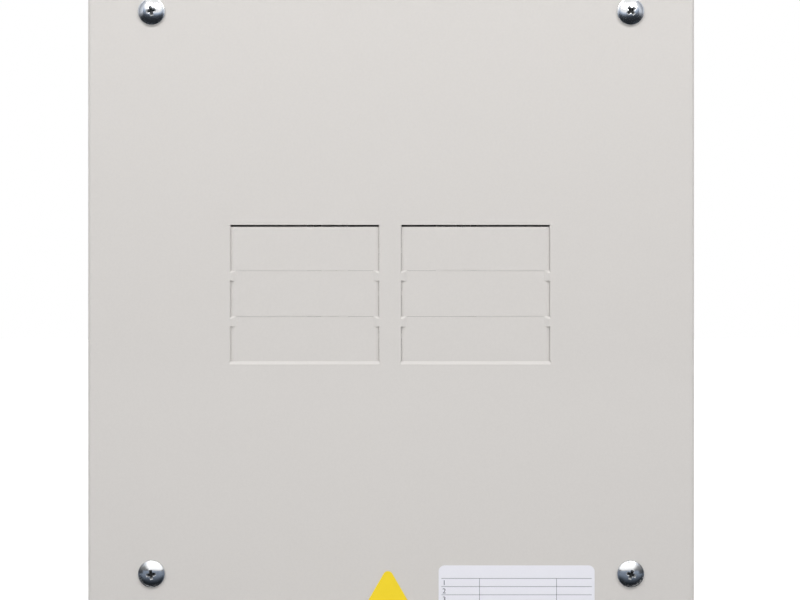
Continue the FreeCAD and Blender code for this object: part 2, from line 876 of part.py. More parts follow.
def make_stab(side, row):
    """A blade that stands on the bus bar and reaches past the centre, on a foot riveted to it."""
    middle = row_middle(row)
    low, high = middle - stab_thickness / 2, middle + stab_thickness / 2
    blade_root = bus_face + stab_thickness + stab_bend
    blade_top = bus_face + stab_rise
    angle_path = [(bus_face, high + stab_foot), (bus_face, low), (blade_root, low)]
    angle = folded(angle_path, stab_thickness, stab_bend, "x", *bus_limits(side))
    outer, tip = side * bus_outer, -side * stab_reach
    blade_corners = [
        (outer, blade_root, 0),
        (outer, blade_top, stab_corner),
        (tip, blade_top, stab_corner),
        (tip, blade_root, 0),
    ]
    blade = drawn(blade_corners, "z", low, high)
    z = stab_rivet_z(row)
    drilled = hole(rivet_hole, side * bus_offset, z, bus_face, bus_face + stab_thickness)
    return joined([angle, blade]).cut(drilled)


def make_stabs(side):
    return group([make_stab(side, row) for row in stab_rows(side)])


def make_stab_rivets():
    grip = stab_thickness + bus_thickness
    face = bus_face + stab_thickness
    return group(
        [
            stood(rivet(grip), side * bus_offset, face, stab_rivet_z(row))
            for side in (-1, 1)
            for row in stab_rows(side)
        ]
    )


# ================================================================ lugs and terminal bars
def make_lug(x, back, z, way):
    """A cable lug on a tang. Its body starts at z and runs up (way 1) or down (way -1)."""
    rise = back + lug_rise
    half = lug_width / 2
    low, high = sorted((z, z + way * lug_length))
    section = [
        (x - half, back, 0),
        (x + half, back, 0),
        (x + half, rise, lug_corner),
        (x - half, rise, lug_corner),
    ]
    body = drawn(section, "z", low, high)
    tang_z = sorted((z, z - way * lug_tang))
    tang = block((x - half, x + half), (back, back + lug_tang_rise), tang_z)
    bore_out = back + lug_rise / 2
    bore = rod(lug_bore, at(x, bore_out, low), at(x, bore_out, high))
    thread = hole(set_screw_radius, x, z + way * lug_length / 2, bore_out, rise)
    fixing = hole(clear_hole, x, z - way * lug_tang / 2, back, back + lug_tang_rise)
    return joined([body, tang]).cut([bore, thread, fixing])


def make_set_screw(x, back, z, way):
    """The socket screw that clamps the cable, backed out as far as the top of the bore."""
    corners = [math.radians(60 * corner) for corner in range(7)]
    socket = Part.makePolygon(
        [
            FreeCAD.Vector(math.cos(turn), math.sin(turn), 0) * set_screw_socket
            + FreeCAD.Vector(0, 0, set_screw_length - set_screw_depth)
            for turn in corners
        ]
    )
    hexagon = Part.Face(socket).extrude(FreeCAD.Vector(0, 0, set_screw_depth))
    body = Part.makeCylinder(set_screw_radius, set_screw_length).cut(hexagon)
    return stood(body, x, back + lug_rise / 2 + lug_bore, z + way * lug_length / 2)


def line_lugs():
    """(x, back, z, way) of the two line lugs."""
    return [(side * bus_offset, bus_face, lug_z, 1) for side in (-1, 1)]


def make_line_lug_screws():
    screw = interior_screw(lug_tang_rise + bus_thickness + bite)
    face = bus_face + lug_tang_rise
    return group([stood(screw, side * bus_offset, face, lug_screw_z) for side in (-1, 1)])


def bar_length(zones):
    return sum(zone_widths[zone] for zone in zones)


def along_bar(zones, kind, z):
    """(x, z) of the middle of every zone of that kind along a bar centred on the box."""
    places = []
    edge = -bar_length(zones) / 2
    for zone in zones:
        if zone == kind:
            places.append((edge + zone_widths[zone] / 2, z))
        edge += zone_widths[zone]
    return places


def make_terminal_bar(zones, back, z):
    """A bar with a cross hole and a clamping screw's thread for each wire, and fixing holes."""
    half = bar_length(zones) / 2
    face = back + bar_rise
    low, high = z - bar_width / 2, z + bar_width / 2
    middle = back + bar_rise / 2
    holes = []
    for x, _ in along_bar(zones, "wire", z):
        holes.append(rod(wire_hole, at(x, middle, low), at(x, middle, high)))
        holes.append(hole(terminal_shank, x, z, middle, face))
    for kind in ("foot", "lug", "bond"):
        for x, _ in along_bar(zones, kind, z):
            holes.append(hole(clear_hole, x, z, back, face))
    return block((-half, half), (back, face), (low, high)).cut(holes)


def make_terminal_screws(zones, back, z):
    """Clamping screws, backed out to the edge of the wire holes."""
    length = bar_rise / 2 - wire_hole
    screw = cap_screw(terminal_head, screw_head_rise, terminal_shank, length)
    face = back + bar_rise
    return group([stood(screw, x, face, z) for x, z in along_bar(zones, "wire", z)])


def neutral_lug_x():
    return along_bar(neutral_zones, "lug", neutral_z)[0][0]


def neutral_post_places():
    """Under the bar's two fixing holes and, last, under the middle of its lug."""
    lug_post = (neutral_lug_x(), neutral_lug_z - lug_length / 2)
    return [*along_bar(neutral_zones, "foot", neutral_z), lug_post]


def make_neutral_standoffs():
    """Two moulded posts under the neutral bar and a taller one, pegged to the pan, for its lug."""
    *bar_posts, (lug_x, lug_post_z) = neutral_post_places()
    posts = []
    half = bar_width / 2 + standoff_margin
    for x, z in bar_posts:
        edges = rectangle((x - half, x + half), (z - half, z + half), standoff_margin)
        post = drawn(edges, "out", pan_face, neutral_back)
        posts.append(post.cut(hole(clear_hole, x, z, pan_face, neutral_back)))
    half = lug_width / 2
    reach = lug_length / 2 - standoff_margin
    z_limits = (lug_post_z - reach, lug_post_z + reach)
    edges = rectangle((lug_x - half, lug_x + half), z_limits, standoff_margin)
    tall = drawn(edges, "out", pan_face, neutral_face)
    peg = hole(screw_shank, lug_x, lug_post_z, pan_face - pan_sheet, pan_face)
    posts.append(joined([tall, peg]))
    return group(posts)


def make_neutral_bar_screws():
    """Through the bar and its standoffs into the pan."""
    screw = interior_screw(bar_rise + standoff_rise + pan_sheet)
    places = along_bar(neutral_zones, "foot", neutral_z)
    return group([stood(screw, x, neutral_face, z) for x, z in places])


def make_neutral_lug_screw():
    face = neutral_face + lug_tang_rise
    return stood(interior_screw(lug_tang_rise + bar_rise / 2), neutral_lug_x(), face, neutral_z)


def make_bonding_screw():
    """The long screw that bonds the neutral bar to the pan and so to the box."""
    ((x, z),) = along_bar(neutral_zones, "bond", neutral_z)
    return stood(interior_screw(bar_rise + standoff_rise + pan_sheet), x, neutral_face, z)


def make_ground_bar():
    """The ground bar, whose two feet rest on the back of the box."""
    bar = make_terminal_bar(ground_zones, ground_back, ground_z)
    feet = []
    half = bar_width / 2
    for x, z in along_bar(ground_zones, "foot", ground_z):
        foot = block((x - half, x + half), (box_sheet, ground_back), (z - half, z + half))
        feet.append(foot.cut(hole(clear_hole, x, z, box_sheet, ground_back)))
    return joined([bar, *feet])


def make_ground_bar_screws():
    screw = interior_screw(bar_rise + ground_spacer + box_sheet)
    places = along_bar(ground_zones, "foot", ground_z)
    return group([stood(screw, x, ground_face, z) for x, z in places])


# ================================================================ every piece, by name
def make_parts():
    parts = {
        "back_and_sides": make_back_and_sides(),
        "top_wall": make_end_wall(1),
        "bottom_wall": make_end_wall(-1),
        "top_knockouts": make_end_knockouts(1),
        "bottom_knockouts": make_end_knockouts(-1),
        "side_knockouts": make_side_knockouts(),
        "front_cover": make_front_cover(),
        "rating_label": make_rating_label(),
        "triangle_sticker": make_triangle_sticker(),
        "interior_pan": make_interior_pan(),
        "pan_screws": make_pan_screws(),
        "breaker_rail_right": make_breaker_rail(),
        "breaker_rail_left": mirrored(make_breaker_rail()),
        "rail_rivets": make_rail_rivets(),
        "bus_insulator": make_bus_insulator(),
        "insulator_screws": make_insulator_screws(),
        "line_bus_left": make_line_bus(-1),
        "line_bus_right": make_line_bus(1),
        "stabs_left": make_stabs(-1),
        "stab_right": make_stabs(1),
        "stab_rivets": make_stab_rivets(),
        "line_lug_left": make_lug(*line_lugs()[0]),
        "line_lug_right": make_lug(*line_lugs()[1]),
        "line_lug_set_screws": group([make_set_screw(*lug) for lug in line_lugs()]),
        "line_lug_screws": make_line_lug_screws(),
        "neutral_bar": make_terminal_bar(neutral_zones, neutral_back, neutral_z),
        "neutral_standoffs": make_neutral_standoffs(),
        "neutral_bar_screws": make_neutral_bar_screws(),
        "neutral_terminal_screws": make_terminal_screws(neutral_zones, neutral_back, neutral_z),
        "neutral_lug": make_lug(neutral_lug_x(), neutral_face, neutral_lug_z, -1),
        "neutral_lug_set_screw": make_set_screw(neutral_lug_x(), neutral_face, neutral_lug_z, -1),
        "neutral_lug_screw": make_neutral_lug_screw(),
        "bonding_screw": make_bonding_screw(),
        "ground_bar": make_ground_bar(),
        "ground_terminal_screws": make_terminal_screws(ground_zones, ground_back, ground_z),
        "ground_bar_screws": make_ground_bar_screws(),
    }
    for name, (x, z) in cover_screw_places().items():
        parts["cover_screw_" + name] = make_cover_screw(x, z)
    for name, side in (("left", -1), ("right", 1)):
        for row in range(1, pole_rows + 1):
            parts[f"twist_out_{name}_{row}"] = make_twist_out(side, row)
    return parts


def main():
    os.makedirs("parts", exist_ok=True)
    for name, shape in make_parts().items():
        shape.exportStep(f"parts/{name}.step")


main()
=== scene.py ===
import json
import math

import bpy
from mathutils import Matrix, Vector


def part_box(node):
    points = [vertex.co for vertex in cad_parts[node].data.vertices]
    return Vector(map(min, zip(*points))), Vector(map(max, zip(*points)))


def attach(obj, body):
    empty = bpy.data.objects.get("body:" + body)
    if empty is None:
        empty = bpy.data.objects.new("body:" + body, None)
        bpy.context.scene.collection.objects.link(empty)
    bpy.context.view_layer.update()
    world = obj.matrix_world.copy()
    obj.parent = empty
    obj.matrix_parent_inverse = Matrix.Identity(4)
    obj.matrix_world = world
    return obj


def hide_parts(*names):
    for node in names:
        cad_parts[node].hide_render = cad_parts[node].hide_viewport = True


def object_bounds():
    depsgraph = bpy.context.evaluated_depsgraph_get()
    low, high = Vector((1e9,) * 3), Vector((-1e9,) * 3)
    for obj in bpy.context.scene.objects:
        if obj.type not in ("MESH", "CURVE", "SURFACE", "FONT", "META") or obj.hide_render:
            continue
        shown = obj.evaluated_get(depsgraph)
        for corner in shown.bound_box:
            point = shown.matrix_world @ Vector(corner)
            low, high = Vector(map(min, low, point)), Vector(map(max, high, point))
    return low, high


# The look of a flush load centre for six breakers: a powder-coated cover on four plated screws,
# its twist-out plates and stickers, and behind it the galvanised box with its bus bars, lugs and
# wire bars. Everything is in metres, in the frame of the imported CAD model: the cover faces -Y and
# Z is up.

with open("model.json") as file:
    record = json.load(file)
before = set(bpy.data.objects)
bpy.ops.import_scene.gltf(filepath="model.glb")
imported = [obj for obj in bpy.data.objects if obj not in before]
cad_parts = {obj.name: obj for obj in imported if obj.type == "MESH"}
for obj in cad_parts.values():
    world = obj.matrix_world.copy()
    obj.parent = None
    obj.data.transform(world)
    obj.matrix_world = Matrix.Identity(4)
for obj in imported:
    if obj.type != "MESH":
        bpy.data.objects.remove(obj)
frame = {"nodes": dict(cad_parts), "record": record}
cad_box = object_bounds()
nodes = frame["nodes"]
base_colours = {entry["slot"]: entry["base_color"] for entry in frame["record"]["materials"]}
MM = 0.001
cover_low, cover_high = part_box("front_cover")
cover_face = cover_low.y

# ---- camera
PICTURE_WIDTH = 332.2 * MM  # of the cover's plane, from the picture's left edge to its right
LENS = 80.0
SENSOR = 36.0
CAMERA_RIGHT = 3.7 * MM  # camera to the right of the cover's middle
CAMERA_BELOW = 3.0 * MM  # and below it

# ---- lamps, world and floor
WORLD_LIGHT = 0.42
SOFTBOX_SIZE = 0.55
SOFTBOX_POWER = 5.0
SOFTBOX_SIDE = 0.42  # one at each side of the cover's middle
SOFTBOX_FRONT = 0.75  # in front of its face
SOFTBOX_HEIGHT = 0.80
FLOOR_SIZE = 12.0
FLOOR_COLOUR = (0.76, 0.76, 0.76, 1)
FLOOR_ROUGHNESS = 0.9
FLOOR_GLOW = 0.72  # added to the lit floor for the camera, so that it is white but for shadows

# ---- cards that only polished metal sees, with their tones from point to point: painted reflections, glowing sheets hidden from the camera, from diffuse light and from shadows, that set the light and dark bands seen in the screw heads
CARD_SIDE = 0.55  # of the cards at both sides, from the cover's middle
CARD_FRONT = 0.31  # how far the cards reach in front of the cover
CARD_TINT = (0.8, 0.95, 1.2)  # of all cards but the white one and those at the sides
SIDE_TINT = (0.93, 0.98, 1.08)
WHITE_TINT = (1, 1, 1)
FLOOR_CARD = [  # distance in front of the cover, tone
    (0.004, 0.01),
    (0.020, 0.016),
    (0.033, 0.053),
    (0.050, 0.11),
    (0.080, 0.20),
    (0.146, 0.27),
    (CARD_FRONT, 0.25),
]
SHELF_HEIGHT = 0.13  # of a level card above the floor, with the white one right below it
SHELF_CARD = [(0.058, 0.01), (0.143, 0.013), (0.229, 0.03), (CARD_FRONT, 0.045)]
# painted highlight: the white card glows up to 1.3 times white, seen only in reflections
WHITE_CARD = [(0.058, 1.3), (0.160, 1.2), (0.250, 0.9), (CARD_FRONT, 0.45)]
WHITE_ACROSS = [(0.15, 1.0), (0.22, 0.2), (CARD_SIDE, 0.1)]  # from the middle, share of those tones
STANDING_CARD = [(0.0, 0.25), (0.6, 0.30), (1.0, 0.40)]  # share of its height, tone; up to the shelf
UPPER_CARD = [(0.0, 0.03), (0.3, 0.10), (0.6, 0.35), (1.0, 0.80)]  # and from the shelf up
UPPER_TOPS = [(0.10, 0.10), (0.25, 0.15), (0.40, 0.26), (CARD_SIDE, 0.45)]  # from the middle, height
SIDE_CARD = [  # height above the floor, tone near the cover, tone in front
    (0.00, 0.02, 0.06),
    (0.15, 0.06, 0.10),
    (0.24, 0.12, 0.40),
    (0.33, 0.20, 1.00),
    (1.00, 0.30, 1.00),
]

# ---- surfaces
NOISE_RANGE = (0.3, 0.7)  # most values of a noise lie between these

# ---- galvanised sheet
CRYSTAL = 6 * MM
CRYSTAL_RAGGED = 1 * MM  # by which the crystals' edges wander
CRYSTAL_LEAN = 0.16

# ---- stabs
STAB_ROUNDING = 0.25 * MM
STAB_ROUNDING_STEPS = 2
STAB_WELD = 0.001 * MM  # points nearer than this become one
STAB_FLAT = math.radians(0.5)  # faces that meet flatter than this become one
STAB_SHARP = math.radians(35)  # edges sharper than this are rounded

# ---- stickers
VINYL_SHINE = 0.25  # specular level of the printed film
LABEL_SHARE = 1.04  # of the record's colours
YELLOW_SHARE = 1.05

# ---- cover screws
SCREW_TURNS = {"top_left": 12, "top_right": 38, "bottom_left": 8, "bottom_right": 70}  # degrees
SCREW_SEGMENTS = 64
SCREW_ANGLES = [number * math.tau / SCREW_SEGMENTS for number in range(SCREW_SEGMENTS)]
SCREW_RIM = 0.7 * MM  # height at which the dome of the head would meet its rim
RIM_ROUNDING = 0.35 * MM
RIM_FOOT = 0.385 * MM  # height where this rounding ends
RIM_CHAMFER = 0.10 * MM
RIM_STEPS = 6
DOME_STEPS = 12  # from the recess out to the rounding of the rim
RECESS_REACH = 2.05 * MM
RECESS_HALF_WIDTH = 0.62 * MM
RECESS_CHAMFER = 0.08 * MM
RECESS_STEPS = [  # from the bottom up: share of the reach, share of the width, depth under the crown
    (0.20, 0.30, 2.30 * MM),
    (0.50, 0.72, 2.20 * MM),
    (0.62, 0.80, 1.70 * MM),
    (0.94, 0.96, 0.30 * MM),
    (1.00, 1.00, 0.24 * MM),
]
# painted shade: the deepest bands of each screw's recess are coloured at a tenth of the plating's
# colour; the walls above are a quarter darker and duller
DEEP_BANDS = 2  # how many of the bands between these, from the bottom, are darkest
DEEP_SHADE_SHARE = 0.10  # of the plating's colour there, a painted shade
WALL_SHARE = 0.75  # and on the walls above
RECESS_ROUGHNESS = 0.5
SCREW_SHANK = 2.4 * MM
SCREW_ROOT = 1.95 * MM  # radius between the threads
SCREW_TIP = 1.56 * MM
THREAD_PITCH = 0.8 * MM
THREAD_STEPS = 8  # rings in one pitch
THREAD_SHARPNESS = 1.3  # 1 is a ridge whose flanks meet at the root; above it the root is flat

# ---- print on the rating label
INK = (0.10, 0.11, 0.14)
INK_DEPTH = 0.02 * MM
HAIRLINE = 0.16 * MM
LABEL_MARGIN = 1.2 * MM
LABEL_HEADER = 5.4 * MM  # from the label's top to the line under the header
LABEL_ROW = 3.4 * MM
LABEL_COLUMNS = (17 * MM, 49 * MM)
CIRCUITS = 6
DIGIT_HEIGHT = 2.2 * MM
DIGIT_INSET = 0.4 * MM  # from the end of the lines
FONT_SIZE = 1.35 * DIGIT_HEIGHT


# ================================================================ helpers
def feed(tree, socket, value):
    """Links a socket to another node's output, or sets its value."""
    if isinstance(value, bpy.types.NodeSocket):
        tree.links.new(value, socket)
    else:
        socket.default_value = value


def add(tree, kind, inputs=None, **settings):
    """A shader node with its settings and its inputs, by name or by number."""
    made = tree.nodes.new("ShaderNode" + kind)
    for name, value in settings.items():
        setattr(made, name, value)
    for name, value in (inputs or {}).items():
        feed(tree, made.inputs[name], value)
    return made


def new_material(name):
    material = bpy.data.materials.new(name)
    material.use_nodes = True
    return material


def mesh_object(name, points, faces):
    """An object in the scene with a mesh of these points and faces."""
    mesh = bpy.data.meshes.new(name)
    mesh.from_pydata(points, [], faces)
    made = bpy.data.objects.new(name, mesh)
    bpy.context.scene.collection.objects.link(made)
    return made


# ================================================================ patterns
def place(tree, stretch=(1, 1, 1)):
    """The point on the object, in metres, stretched along the axes."""
    point = add(tree, "TexCoord").outputs["Object"]
    return add(tree, "Mapping", {"Vector": point, "Scale": stretch}).outputs["Vector"]


def cloud(tree, size, detail=2.0, stretch=(1, 1, 1)):
    """A noise node whose patches are about size across."""
    inputs = {"Vector": place(tree, stretch), "Scale": 1 / size, "Detail": detail}
    return add(tree, "TexNoise", inputs)


def noise(tree, **shape):
    """Noise from 0 to 1; shape is what cloud takes."""
    return cloud(tree, **shape).outputs["Fac"]


def between(tree, factor, low, high):
    """A number that follows a noise from low to high."""
    lowest, highest = NOISE_RANGE
    inputs = {"Value": factor, "From Min": lowest, "From Max": highest, "To Min": low, "To Max": high}
    return add(tree, "MapRange", inputs).outputs["Result"]


def shade(colour, share):
    """A colour made lighter or darker."""
    return (*[min(1.0, channel * share) for channel in colour[:3]], 1.0)


def mix(tree, factor, low, high):
    """A colour between two others. The numbers are the node's factor and colours."""
    return add(tree, "Mix", {0: factor, 6: low, 7: high}, data_type="RGBA").outputs[2]


def mottled(tree, factor, colour, darkest, lightest):
    """A colour that follows a noise between two shares of itself."""
    span = between(tree, factor, low=0.0, high=1.0)
    return mix(tree, span, shade(colour, darkest), shade(colour, lightest))


def vectors(tree, operation, first, second=(0, 0, 0)):
    """Two vectors added, subtracted or multiplied, or the first one normalised."""
    return add(tree, "VectorMath", {0: first, 1: second}, operation=operation).outputs[0]


def bump(tree, height, depth, below=None):
    """A surface raised by height times depth, on top of another bump."""
    inputs = {"Height": height, "Strength": 1.0, "Distance": depth}
    if below is not None:
        inputs["Normal"] = below
    return add(tree, "Bump", inputs).outputs["Normal"]


def finish(name, inputs):
    """A material of one principled shader; inputs is a function of its node tree."""
    material = new_material(name)
    tree = material.node_tree
    shader = tree.nodes["Principled BSDF"]
    for socket, value in inputs(tree).items():
        feed(tree, shader.inputs[socket], value)
    return material


# ================================================================ materials
def powder_coat(colour):
    """Satin paint baked on sheet steel: a faint orange peel over a fine grain."""

    def inputs(tree):
        mottle = noise(tree, size=0.9 * MM, detail=4.0)
        peel = bump(tree, noise(tree, size=1.1 * MM, detail=1.0), depth=0.006 * MM)
        grain = noise(tree, size=0.35 * MM)
        return {
            "Base Color": mottled(tree, mottle, colour, darkest=0.988, lightest=1.012),
            "Roughness": between(tree, grain, low=0.42, high=0.50),
            "Normal": bump(tree, grain, depth=0.004 * MM, below=peel),
        }

    return finish("powder_coat", inputs)


def galvanised(colour):
    """Zinc-dipped steel: frosty crystals of some millimetres, each leaning a little its own way."""

    def inputs(tree):
        wander = cloud(tree, size=2 * MM, detail=3.0).outputs["Color"]
        offset = vectors(tree, "MULTIPLY", wander, (CRYSTAL_RAGGED,) * 3)
        ragged = vectors(tree, "ADD", place(tree), offset)
        crystals = add(tree, "TexVoronoi", {"Vector": ragged, "Scale": 1 / CRYSTAL}).outputs["Color"]
        tone = add(tree, "SeparateColor", {"Color": crystals}).outputs["Red"]
        lean = vectors(tree, "SUBTRACT", crystals, (0.5, 0.5, 0.5))
        lean = vectors(tree, "MULTIPLY", lean, (CRYSTAL_LEAN,) * 3)
        normal = vectors(tree, "ADD", add(tree, "NewGeometry").outputs["Normal"], lean)
        normal = vectors(tree, "NORMALIZE", normal)
        frost = noise(tree, size=0.5 * MM, detail=3.0)
        stain = noise(tree, size=40 * MM, detail=4.0)
        clean = mottled(tree, tone, colour, darkest=0.92, lightest=1.10)
        dull = between(tree, stain, low=0.0, high=0.35)
        return {
            "Base Color": mix(tree, dull, clean, shade(colour, 0.92)),
            "Metallic": 0.85,
            "Roughness": between(tree, tone, low=0.40, high=0.55),
            "Normal": bump(tree, frost, depth=0.004 * MM, below=normal),
        }

    return finish("galvanised", inputs)


def plated(name, colour, roughness, scratch_depth, metallic=1.0):
    """Plated steel with fine handling scratches and a slightly uneven gloss."""

    def inputs(tree):
        scratches = noise(tree, size=0.25 * MM, detail=3.0, stretch=(1, 1, 0.2))
        patches = noise(tree, size=2.5 * MM)
        return {
            "Base Color": mottled(tree, patches, colour, darkest=0.94, lightest=1.05),
            "Metallic": metallic,
            "Roughness": between(tree, patches, low=roughness * 0.8, high=roughness * 1.25),
            "Normal": bump(tree, scratches, scratch_depth),
        }

    return finish(name, inputs)


def drawn_metal(name, colour, roughness, stretch):
    """Bar or strip metal with lines along the way it was drawn."""

    def inputs(tree):
        lines = noise(tree, size=0.3 * MM, detail=4.0, stretch=stretch)
        patches = noise(tree, size=7 * MM, detail=3.0)
        return {
            "Base Color": mottled(tree, patches, colour, darkest=0.92, lightest=1.06),
            "Metallic": 1.0,
            "Roughness": between(tree, lines, low=roughness * 0.85, high=roughness * 1.2),
            "Normal": bump(tree, lines, depth=0.004 * MM),
        }

    return finish(name, inputs)


def moulding(name, colour, roughness):
    """Moulded plastic with a fine spark texture and faint flow marks."""

    def inputs(tree):
        spark = noise(tree, size=0.3 * MM)
        flow = noise(tree, size=12 * MM, detail=3.0, stretch=(1, 1, 0.4))
        return {
            "Base Color": mottled(tree, flow, colour, darkest=0.93, lightest=1.08),
            "Roughness": between(tree, flow, low=roughness * 0.9, high=roughness * 1.15),
            "Normal": bump(tree, spark, depth=0.008 * MM),
        }

    return finish(name, inputs)


def vinyl(name, colour):
    """Printed vinyl film, smooth with a slight ripple from the paint under it."""

    def inputs(tree):
        ripple = noise(tree, size=1.1 * MM, detail=1.0)
        print_dots = noise(tree, size=0.4 * MM)
        return {
            "Base Color": mottled(tree, print_dots, colour, darkest=0.99, lightest=1.01),
            "Roughness": between(tree, print_dots, low=0.38, high=0.44),
            "Specular IOR Level": VINYL_SHINE,
            "Normal": bump(tree, ripple, depth=0.003 * MM),
        }

    return finish(name, inputs)


def make_finishes():
    """The materials of the record's slots."""

    def zinc(name, roughness, scratch_depth, metallic=1.0):
        return plated(name, base_colours[name], roughness, scratch_depth, metallic)

    def bar(name, roughness, stretch):
        return drawn_metal(name, base_colours[name], roughness, stretch)

    def plastic(name, roughness):
        return moulding(name, base_colours[name], roughness)

    def sticker(name, share):
        return vinyl(name, shade(base_colours[name], share))

    return {
        "cover_paint": powder_coat(base_colours["cover_paint"]),
        "galvanised_sheet": galvanised(base_colours["galvanised_sheet"]),
        "bright_zinc": zinc("bright_zinc", roughness=0.17, scratch_depth=0.001 * MM),
        "zinc_screw": zinc("zinc_screw", roughness=0.28, scratch_depth=0.002 * MM),
        "rivet_steel": zinc("rivet_steel", roughness=0.38, scratch_depth=0.003 * MM),
        "green_screw": zinc("green_screw", roughness=0.32, scratch_depth=0.002 * MM, metallic=0.7),
        "tinned_copper": bar("tinned_copper", roughness=0.30, stretch=(1, 1, 0.03)),
        "aluminium": bar("aluminium", roughness=0.34, stretch=(0.03, 1, 1)),
        "black_moulding": plastic("black_moulding", roughness=0.42),
        "pale_moulding": plastic("pale_moulding", roughness=0.48),
        "label_white": sticker("label_white", LABEL_SHARE),
        "sticker_yellow": sticker("sticker_yellow", YELLOW_SHARE),
    }


def recess_zinc(name, share):
    """The cover screws' plating inside the recess, duller and darker; in the deepest bands this darkness
    is a painted shade.
    """
    colour = shade(base_colours["bright_zinc"], share)
    return plated(name, colour, RECESS_ROUGHNESS, scratch_depth=0.004 * MM)


# ================================================================ CAD pieces
def soften(name):
    """Rounds the sheared edges of a bar of metal a little, so that they catch the light."""
    piece = nodes[name]
    weld = piece.modifiers.new("weld", "WELD")
    weld.merge_threshold = STAB_WELD
    flatten = piece.modifiers.new("flatten", "DECIMATE")
    flatten.decimate_type = "DISSOLVE"
    flatten.angle_limit = STAB_FLAT
    edges = piece.modifiers.new("edges", "BEVEL")
    edges.width = STAB_ROUNDING
    edges.segments = STAB_ROUNDING_STEPS
    edges.limit_method = "ANGLE"
    edges.angle_limit = STAB_SHARP
    edges.harden_normals = True


def dress_cad(finishes):
    """Gives every CAD node the finish of its slot."""
    for piece in nodes.values():
        slot = piece.material_slots[0]
        slot.material = finishes[slot.material.name.split(".")[0]]
    for name in ("stabs_left", "stab_right"):
        soften(name)


# ================================================================ cover screws
def ring_of_points(radii, heights):
    """Points about the screw's axis, one at each angle; heights are out from the cover's face."""
    return [(radius * math.cos(angle), radius * math.sin(angle), height)
            for angle, radius, height in zip(SCREW_ANGLES, radii, heights)]


def level_ring(radii, height):
    """Points at one height and at these distances from the axis."""
    return ring_of_points(radii, [height] * SCREW_SEGMENTS)


def circle(radius, height):
    """Points at one height and at one distance from the axis."""
    return level_ring([radius] * SCREW_SEGMENTS, height)


def cross(reach, half_width):
    """Distances from the axis to the edge of a cross."""
    quarter = math.pi / 2
    radii = []
    for angle in SCREW_ANGLES:
        off_arm = abs((angle + quarter / 2) % quarter - quarter / 2)
        to_end = reach / math.cos(off_arm)
        to_side = half_width / math.sin(off_arm) if off_arm else to_end
        radii.append(min(to_end, to_side))
    return radii


def dome_height(radius, head_radius, rise):
    """Height of the round head at a distance from its axis."""
    cap_rise = rise - SCREW_RIM
    sphere = (head_radius**2 + cap_rise**2) / (2 * cap_rise)
    return rise - sphere + math.sqrt(sphere**2 - radius**2)


def thread_radius(angle, depth, length):
    """Radius of the shank at an angle and a depth. The thread rises over one pitch and ends over two."""
    phase = (depth / THREAD_PITCH + angle / math.tau) % 1
    ridge = max(0.0, 1 - THREAD_SHARPNESS * abs(2 * phase - 1))
    ends = min(1.0, depth / THREAD_PITCH, (length - depth) / (2 * THREAD_PITCH))
    return SCREW_ROOT + (SCREW_SHANK - SCREW_ROOT) * ridge * max(0.0, ends)


def recess_rings(rise):
    """The cross recess, from its bottom up to the chamfer around it."""
    rings = []
    for reach_share, width_share, depth in RECESS_STEPS:
        radii = cross(RECESS_REACH * reach_share, RECESS_HALF_WIDTH * width_share)
        rings.append(level_ring(radii, rise - depth))
    return rings


def head_rings(head_radius, rise):
    """The round head, from the chamfer around the recess to the underside."""
    inner = cross(RECESS_REACH + RECESS_CHAMFER, RECESS_HALF_WIDTH + RECESS_CHAMFER)
    outer = head_radius - RIM_ROUNDING
    rings = []
    for number in range(DOME_STEPS + 1):
        share = number / DOME_STEPS
        radii = [radius + (outer - radius) * share for radius in inner]
        heights = [dome_height(radius, head_radius, rise) for radius in radii]
        rings.append(ring_of_points(radii, heights))
    shoulder = dome_height(outer, head_radius, rise)
    for number in range(1, RIM_STEPS + 1):
        angle = math.pi / 2 * number / RIM_STEPS
        drop = (shoulder - RIM_FOOT) * (1 - math.cos(angle))
        rings.append(circle(outer + RIM_ROUNDING * math.sin(angle), shoulder - drop))
    rings.append(circle(head_radius, RIM_CHAMFER))
    rings.append(circle(head_radius - RIM_CHAMFER, 0.0))
    return rings


def shank_rings(length):
    """The threaded shank, from under the head to the tip."""
    rings = [circle(SCREW_ROOT, 0.0)]
    count = int(length / THREAD_PITCH * THREAD_STEPS)
    for number in range(1, count + 1):
        depth = length * number / (count + 1)
        radii = [thread_radius(angle, depth, length) for angle in SCREW_ANGLES]
        rings.append(level_ring(radii, -depth))
    rings.append(circle(SCREW_TIP, -length))
    return rings


def loft(name, rings, to_point):
    """A closed smooth mesh through rings of equally many points, its ends filled."""
    count = len(rings[0])
    points = [to_point(point) for ring in rings for point in ring]
    faces = [tuple(range(count))]
    for number in range(len(rings) - 1):
        low, high = number * count, (number + 1) * count
        for side in range(count):
            after = (side + 1) % count
            faces.append((low + side, high + side, high + after, low + after))
    faces.append(tuple(reversed(range(len(points) - count, len(points)))))
    piece = mesh_object(name, points, faces)
    piece.data.polygons.foreach_set("use_smooth", [True] * len(faces))
    piece.data.update()
    return piece


